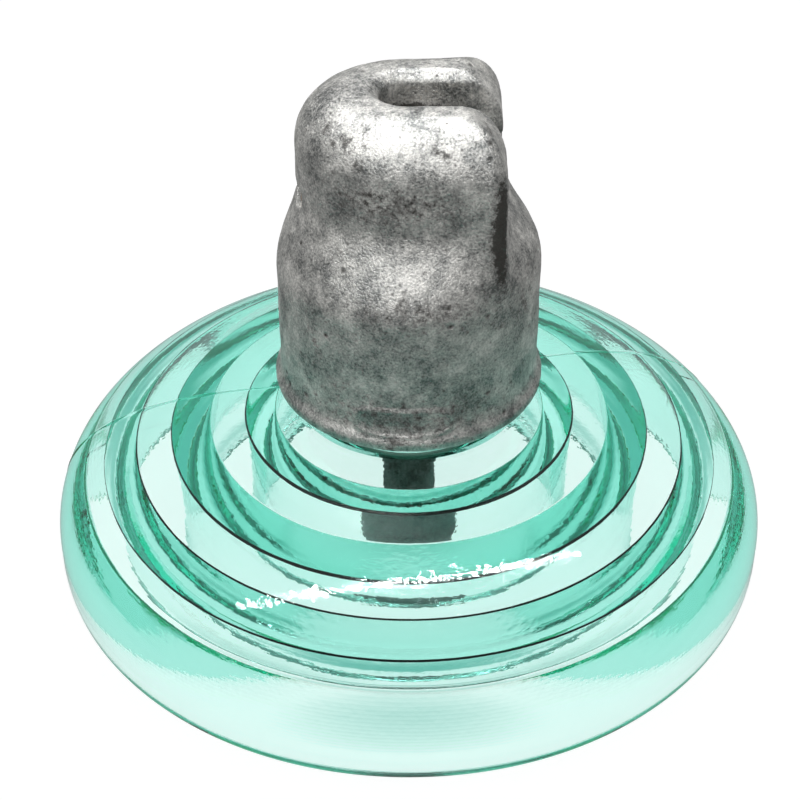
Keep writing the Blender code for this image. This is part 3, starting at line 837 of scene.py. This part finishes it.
def make_pin_mortar(mortar):
    crown = PIN_CROWN_RADIUS + GAP
    roof = BORE_ROOF_Z - GAP
    corners = [(crown, roof, 0.0), (crown, PIN_TOP_Z, 0.0),
               (PIN_HEAD_RADIUS + GAP, PIN_TOP_Z - PIN_CHAMFER, 0.0)]
    corners += ledge_corners(GAP, 0.0, 0.0)
    mouth = HUB_UNDER_Z + 3.5 * MM
    wall = BORE_RADIUS - GAP
    corners += [(PIN_NECK_RADIUS + GAP, mouth, 0.0), (wall, mouth - 0.6 * MM, 0.0)]
    corners += [(wall, roof, BORE_ROUND), (crown + 1.7 * MM, roof, 0.0)]
    bm = spun(rounded(corners), 128, closed=True)
    return piece("pin_mortar", bm, mortar, "insulator", "pin_cement")


def make_cap_mortar(mortar):
    disc = CAP_DISC_RADIUS + GAP
    wall = BELL_RADIUS - BELL_WALL - 0.5 * MM
    head = GLASS_HEAD_RADIUS + GAP
    mouth = FLANGE_Z + 1.5 * MM
    corners = [(disc, BELL_ROOF_Z - GAP, 0.0), (wall, BELL_ROOF_Z - GAP, BELL_ROOF_ROUND),
               (wall, mouth, 0.0), (head, mouth + 0.4 * MM, 0.0),
               (head, CROWN_Z + GAP, CROWN_ROUND), (disc, CROWN_Z + GAP, 0.0)]
    bm = spun(rounded(corners), 128, closed=True)
    return piece("cap_mortar", bm, mortar, "insulator", "cap_cement")


def make_disc(name, node, radius, looks):
    low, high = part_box(node)
    corners = [(0.0, high.z, 0.0), (radius, high.z, DISC_EDGE), (radius, low.z, DISC_EDGE),
               (0.0, low.z, 0.0)]
    bm = spun(rounded(corners), 96)
    return piece(name, bm, looks, "insulator", node)


# ---------------------------------------------------------------- locking clip

CLIP_BEND = 3.0 * MM
CLIP_HALF_STRIP = 1.5 * MM
CLIP_LEG = 9.0 * MM           # from the middle plane to an outer leg
CLIP_VERTEX = 8.0 * MM        # how far the middle bend reaches towards the mouth


def clip_path():
    """The middle line of the W: a flared tip, a rear loop and the middle bend, mirrored."""
    tip = CLIP_HIGH.x - 0.4 * MM
    rear = CLIP_LOW.x + CLIP_BEND + CLIP_HALF_STRIP
    vertex = CLIP_VERTEX - CLIP_BEND - CLIP_HALF_STRIP
    half = [(tip, CLIP_LEG + 1.8 * MM), (tip - 2 * MM, CLIP_LEG + 0.7 * MM),
            (tip - 4 * MM, CLIP_LEG), (tip - 6 * MM, CLIP_LEG)]
    half += arc((rear, CLIP_LEG - CLIP_BEND), CLIP_BEND, 90, 270, 14)
    half += arc((vertex, 0.0), CLIP_BEND, 90, 0, 7)
    return [Vector(point) for point in half + [(x, -y) for x, y in half[-2::-1]]]


def make_clip():
    """The W: a strip on edge with soft corners, bent round its two rear loops."""
    path = clip_path()
    sides = ([], [])
    for index, point in enumerate(path):
        along = (path[min(index + 1, len(path) - 1)] - path[max(index - 1, 0)]).normalized()
        across = Vector((-along.y, along.x)) * CLIP_HALF_STRIP
        sides[0].append(point + across)
        sides[1].append(point - across)
    plan = sides[0] + sides[1][::-1]
    bm = loft([[(x, y, z) for x, y in plan] for z in (CLIP_LOW.z, CLIP_HIGH.z)])
    sharp = [edge for edge in bm.edges if edge.calc_face_angle(0.0) > math.radians(50)]
    bmesh.ops.bevel(bm, geom=sharp, offset=0.7 * MM, segments=4, profile=0.5,
                    affect="EDGES", material=-1, clamp_overlap=True)
    bmesh.ops.recalc_face_normals(bm, faces=bm.faces)
    return piece("clip_strip", bm, bronze_material(), "locking_clip", "locking_clip")


# ---------------------------------------------------------------- stage

FLOOR_SEEN = 0.95             # brightness of the table: where the camera sees it plainly,
FLOOR_THROUGH = 0.98          # through glass,
FLOOR_IN_METAL = 0.27         # and in all other cases
GLASS_TINT = (0.93, 1.0, 0.975)     # of light that has come through glass
RIB_TINT = (0.14, 0.48, 0.41)       # of light from the table under a rib
RIB_SHADE_EDGE = 2.5 * MM     # half the width of the soft edge of the tinted ring
RIB_SHADE_NEAR = (22 * MM, 40 * MM)     # way from glass to table over which it fades
MIRROR_TINT = (0.66, 0.87, 0.83)    # for each mirror reflection in the glass,
MIRRORS_AT_MOST = 2.0         # up to this many
DARK_SIDE = (0.0, -0.92, 0.1)       # direction of the tent's dark side
DARK_SPREAD = (0.25, 0.75)    # dot products with it: where the tent is full, and dark
DARK_SHARE = 0.15             # of the tent's strength, left on its dark side
TENT_RISE = (0.0, 0.8)        # heights between which the strength goes from low to top
TENT_LOW = 0.5
TENT_TOP = 0.45
CLEAR_RISE = (0.3, 0.7)       # the same for the tent seen through glass, down from 1
CLEAR_TOP = 0.2
CLEAR_DARK = 0.1
LAMP_COUNT = 260
LAMP_FROM = (-0.74, -0.2, 1.0)
LAMP_TO = (0.56, 0.2, 1.0)
LAMP_RADII = (2.5 * MM, 8.0 * MM)
LAMP_SCATTER = 32 * MM        # across the row, as two standard deviations
LAMP_GLOW = 90.0
# Soft boxes for the cap: place, aim, size and power
OVERHEAD_BOX = ((-0.1, 0.1, 0.95), (0.0, 0.0, 0.1), (0.8, 0.5), 5.3)
FRONT_BOX = ((-0.2, -0.85, 0.75), (0.0, 0.0, 0.1), (0.8, 0.12), 6.5)
CAMERA_PLACE = (0.0, -0.5238, 0.4519)
CAMERA_AIM = (0.0, 0.0, 0.0575)
CAMERA_LENS = 82.9
CAMERA_SHIFT = -0.0111


def under_ribs(tree):
    """Rings on the table where the ribs stand over it and let less light through."""
    where = tree.nodes.new("ShaderNodeNewGeometry").outputs["Position"]
    flat = add_node(tree, "ShaderNodeVectorMath", {0: where, 1: (1.0, 1.0, 0.0)},
                    operation="MULTIPLY").outputs["Vector"]
    radius = add_node(tree, "ShaderNodeVectorMath", {0: flat},
                      operation="LENGTH").outputs["Value"]
    near = spread(tree, tree.nodes.new("ShaderNodeLightPath").outputs["Ray Length"],
                  RIB_SHADE_NEAR[0], RIB_SHADE_NEAR[1], 1.0, 0.0)
    rings = 0.0
    for inner, outer, tip in RIBS:
        away = maths(tree, "ABSOLUTE", maths(tree, "SUBTRACT", radius, (inner + outer) / 2))
        half = (outer - inner) / 2
        rings = maths(tree, "ADD", rings, spread(tree, away, half + RIB_SHADE_EDGE,
                                                 half - RIB_SHADE_EDGE))
    return maths(tree, "MULTIPLY", rings, near)


def path_kinds(tree, shade=None):
    """A mask for what the camera sees, one for what is seen through glass, and the tint
    of the light that comes through glass, deeper under the ribs (shade) and with each
    mirror reflection in the glass."""
    path = tree.nodes.new("ShaderNodeLightPath")
    through = maths(tree, "GREATER_THAN", path.outputs["Transmission Depth"], 0.5)
    tint = tree.nodes.new("ShaderNodeCombineColor")
    mirrors = maths(tree, "MINIMUM", path.outputs["Glossy Depth"], MIRRORS_AT_MOST)
    for index, (clear, under, each) in enumerate(zip(GLASS_TINT, RIB_TINT, MIRROR_TINT)):
        fade = maths(tree, "POWER", each, mirrors)
        first = clear if shade is None else spread(tree, shade, 0.0, 1.0, clear, under)
        tree.links.new(maths(tree, "MULTIPLY", fade, first), tint.inputs[index])
    return path.outputs["Is Camera Ray"], through, tint.outputs[0]


def make_floor():
    """A white table that glows, as a lit sweep does, but stays dim in the metal."""
    made = bpy.data.materials.new("white_sweep")
    made.use_nodes = True
    tree = made.node_tree
    shader = tree.nodes["Principled BSDF"]
    shader.inputs["Base Color"].default_value = (0.2, 0.2, 0.2, 1.0)
    shader.inputs["Roughness"].default_value = 1.0
    shader.inputs["Specular IOR Level"].default_value = 0.0
    seen, through, tint = path_kinds(tree, under_ribs(tree))
    plain = spread(tree, seen, 0.0, 1.0, FLOOR_IN_METAL, FLOOR_SEEN)
    tree.links.new(spread(tree, through, 0.0, 1.0, plain, FLOOR_THROUGH),
                   shader.inputs["Emission Strength"])
    tree.links.new(blend_colours(tree, through, (1.0, 1.0, 1.0), tint),
                   shader.inputs["Emission Color"])
    bm = bmesh.new()
    bmesh.ops.create_grid(bm, x_segments=1, y_segments=1, size=4.0)
    floor = as_object("floor", bm)
    floor.location.z = -0.2 * MM
    floor.data.materials.append(made)


def make_world():
    """A white tent with a bright top, and a dark side where the camera stands."""
    world = bpy.data.worlds.new("tent")
    bpy.context.scene.world = world
    world.use_nodes = True
    tree = world.node_tree
    tree.nodes.clear()
    direction = tree.nodes.new("ShaderNodeTexCoord").outputs["Generated"]
    parts = add_node(tree, "ShaderNodeSeparateXYZ", {0: direction}).outputs
    toward = add_node(tree, "ShaderNodeVectorMath", {0: direction, 1: DARK_SIDE},
                      operation="DOT_PRODUCT").outputs["Value"]
    side = spread(tree, toward, DARK_SPREAD[0], DARK_SPREAD[1], 1.0, 0.0)
    height = spread(tree, parts[2], TENT_RISE[0], TENT_RISE[1], TENT_LOW, TENT_TOP)
    tent = maths(tree, "MULTIPLY", height, spread(tree, side, 0.0, 1.0, DARK_SHARE, 1.0))
    low_down = spread(tree, parts[2], CLEAR_RISE[0], CLEAR_RISE[1], 1.0, CLEAR_TOP)
    clear_tent = maths(tree, "MULTIPLY", low_down,
                       spread(tree, side, 0.0, 1.0, CLEAR_DARK, 1.0))
    seen, through, tint = path_kinds(tree)
    first = add_node(tree, "ShaderNodeMix", {0: through, 2: tent, 3: clear_tent}).outputs[0]
    last = add_node(tree, "ShaderNodeMix", {0: seen, 2: first, 3: 1.0}).outputs[0]
    colour = blend_colours(tree, through, (1.0, 1.0, 1.0), tint)
    lit = add_node(tree, "ShaderNodeBackground", {"Color": colour, "Strength": last})
    output = tree.nodes.new("ShaderNodeOutputWorld")
    tree.links.new(lit.outputs[0], output.inputs["Surface"])


def make_lamp_row():
    """A scattered row of small lamps overhead, whose mirror images sparkle in the glass."""
    made = bpy.data.materials.new("lamp_face")
    made.use_nodes = True
    shader = made.node_tree.nodes["Principled BSDF"]
    shader.inputs["Base Color"].default_value = (0.0, 0.0, 0.0, 1.0)
    shader.inputs["Emission Color"].default_value = (1.0, 1.0, 1.0, 1.0)
    shader.inputs["Emission Strength"].default_value = LAMP_GLOW
    bm = bmesh.new()
    start, end = Vector(LAMP_FROM), Vector(LAMP_TO)
    pick = random.Random(5)
    for index in range(LAMP_COUNT):
        place = start.lerp(end, index / (LAMP_COUNT - 1))
        place.y += pick.gauss(0.0, LAMP_SCATTER / 2)
        bmesh.ops.create_circle(bm, cap_ends=True, segments=10, radius=pick.uniform(*LAMP_RADII),
                                matrix=Matrix.Translation(place))
    row = as_object("lamp_row", bm)
    row.data.materials.append(made)
    row.visible_diffuse = False


def facing(place, aim):
    return (Vector(aim) - Vector(place)).to_track_quat("-Z", "Y").to_euler()


def area_light(name, place, aim, size, power, lit):
    """A soft box that only the listed pieces catch, so that none shows in the glass."""
    light = bpy.data.lights.new(name, "AREA")
    light.shape = "RECTANGLE"
    light.size, light.size_y = size
    light.energy = power
    made = bpy.data.objects.new(name, light)
    made.location = place
    made.rotation_euler = facing(place, aim)
    bpy.context.collection.objects.link(made)
    caught = bpy.data.collections.new(name + "_pieces")
    for thing in lit:
        caught.objects.link(thing)
    made.light_linking.receiver_collection = caught


def make_camera():
    """A long lens that looks down on the unit, with the mouth of its socket to the right."""
    camera = bpy.data.cameras.new("camera")
    camera.lens = CAMERA_LENS
    camera.sensor_width = 36.0
    camera.shift_x = CAMERA_SHIFT
    made = bpy.data.objects.new("camera", camera)
    made.location = CAMERA_PLACE
    made.rotation_euler = facing(CAMERA_PLACE, CAMERA_AIM)
    bpy.context.collection.objects.link(made)
    bpy.context.scene.camera = made


def set_scene():
    scene = bpy.context.scene
    scene.view_settings.view_transform = "Standard"
    scene.cycles.max_bounces = 24
    scene.cycles.transmission_bounces = 24
    scene.cycles.glossy_bounces = 24


def main():
    set_scene()
    make_camera()
    make_floor()
    make_world()
    make_lamp_row()
    make_glass()
    cap = make_cap()
    make_pin()
    area_light("overhead_box", *OVERHEAD_BOX, [cap])
    area_light("front_box", *FRONT_BOX, [cap])
    mortar = mortar_material()
    make_pin_mortar(mortar)
    make_cap_mortar(mortar)
    make_disc("cap_disc", "cap_cushion", CAP_DISC_RADIUS, bitumen_material())
    make_disc("pin_disc", "pin_cushion", PIN_DISC_RADIUS, cork_material())
    make_clip()


main()
